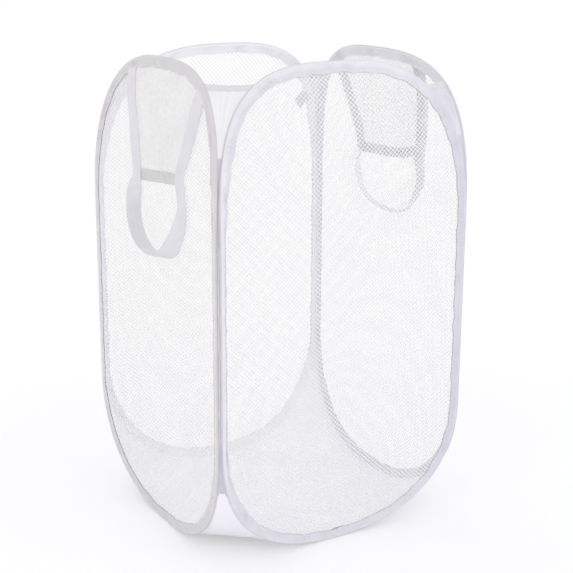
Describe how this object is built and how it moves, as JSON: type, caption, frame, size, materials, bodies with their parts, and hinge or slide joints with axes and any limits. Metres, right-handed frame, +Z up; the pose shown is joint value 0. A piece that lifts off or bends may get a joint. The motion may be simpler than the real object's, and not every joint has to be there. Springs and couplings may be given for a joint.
{
  "type": "pop up laundry hamper",
  "caption": "Open-topped square hamper of net panels in taped spring-wire loops, with fabric corners, a soft base and a strap handle on two opposite sides; folds flat.",
  "frame": {"origin": "on the floor, at the middle of the hamper's bounding box", "axes": "+Z up, the front panel faces -Y, the two handles are on the -X and +X sides"},
  "size_m": [0.3996, 0.3558, 0.6],
  "materials": {
    "net": "knitted polyester mesh, matt with a faint sheen",
    "tape": "woven polyester tape, matt",
    "sheet": "thin plain-woven polyester, slightly see-through",
    "label": "smooth satin ribbon, bare",
    "spring_steel": "drawn spring wire",
    "crimp": "bright plated tube, crimped"
  },
  "bodies": {
    "front_panel": {"front_wire": "spring_steel", "front_ferrule": "crimp", "front_binding": "tape", "front_net": "net", "base_sheet": "sheet", "front_left_gusset": "sheet", "front_left_gusset_hem": "tape", "front_left_seam": "tape", "front_right_gusset": "sheet", "front_right_gusset_hem": "tape", "front_right_seam": "tape"},
    "left_panel": {"left_wire": "spring_steel", "left_ferrule": "crimp", "left_binding": "tape", "left_net": "net", "back_left_gusset": "sheet", "back_left_gusset_hem": "tape", "back_left_seam": "tape"},
    "right_panel": {"right_wire": "spring_steel", "right_ferrule": "crimp", "right_binding": "tape", "right_net": "net", "back_right_gusset": "sheet", "back_right_gusset_hem": "tape", "back_right_seam": "tape"},
    "back_panel": {"back_wire": "spring_steel", "back_ferrule": "crimp", "back_binding": "tape", "back_net": "net", "care_label": "label"},
    "left_handle": {"left_handle_flap": "net", "left_handle_hem": "tape", "left_handle_strap": "tape"},
    "right_handle": {"right_handle_flap": "net", "right_handle_hem": "tape", "right_handle_strap": "tape"}
  },
  "joints": [
    {"name": "fold_left", "type": "hinge", "parent": "front_panel", "child": "left_panel", "pos_m": [-0.1728, -0.1728, 0], "axis": [0, 0, 1], "range_deg": [-88, 88], "stiffness_Nm_per_rad": 0.3, "deforming": ["front_wire", "right_wire", "back_wire", "left_wire", "front_binding", "right_binding", "back_binding", "left_binding", "front_net", "right_net", "back_net", "left_net", "front_left_gusset", "front_right_gusset", "back_right_gusset", "back_left_gusset", "front_left_gusset_hem", "front_right_gusset_hem", "back_right_gusset_hem", "back_left_gusset_hem", "base_sheet"]},
    {"name": "fold_right", "type": "hinge", "parent": "front_panel", "child": "right_panel", "pos_m": [0.1728, -0.1728, 0], "axis": [0, 0, 1], "range_deg": [-88, 88]},
    {"name": "fold_back", "type": "hinge", "parent": "left_panel", "child": "back_panel", "pos_m": [-0.1728, 0.1728, 0], "axis": [0, 0, 1], "range_deg": [-88, 88]},
    {"name": "left_handle_swing", "type": "hinge", "parent": "left_panel", "child": "left_handle", "pos_m": [-0.159, -0.014, 0.5847], "axis": [0, 1, 0], "range_deg": [0, 170]},
    {"name": "right_handle_swing", "type": "hinge", "parent": "right_panel", "child": "right_handle", "pos_m": [0.159, -0.003, 0.5847], "axis": [0, -1, 0], "range_deg": [0, 170]}
  ],
  "couplings": [
    {"joint": "fold_right", "follows": "fold_left", "ratio": 1},
    {"joint": "fold_back", "follows": "fold_left", "ratio": -1}
  ]
}
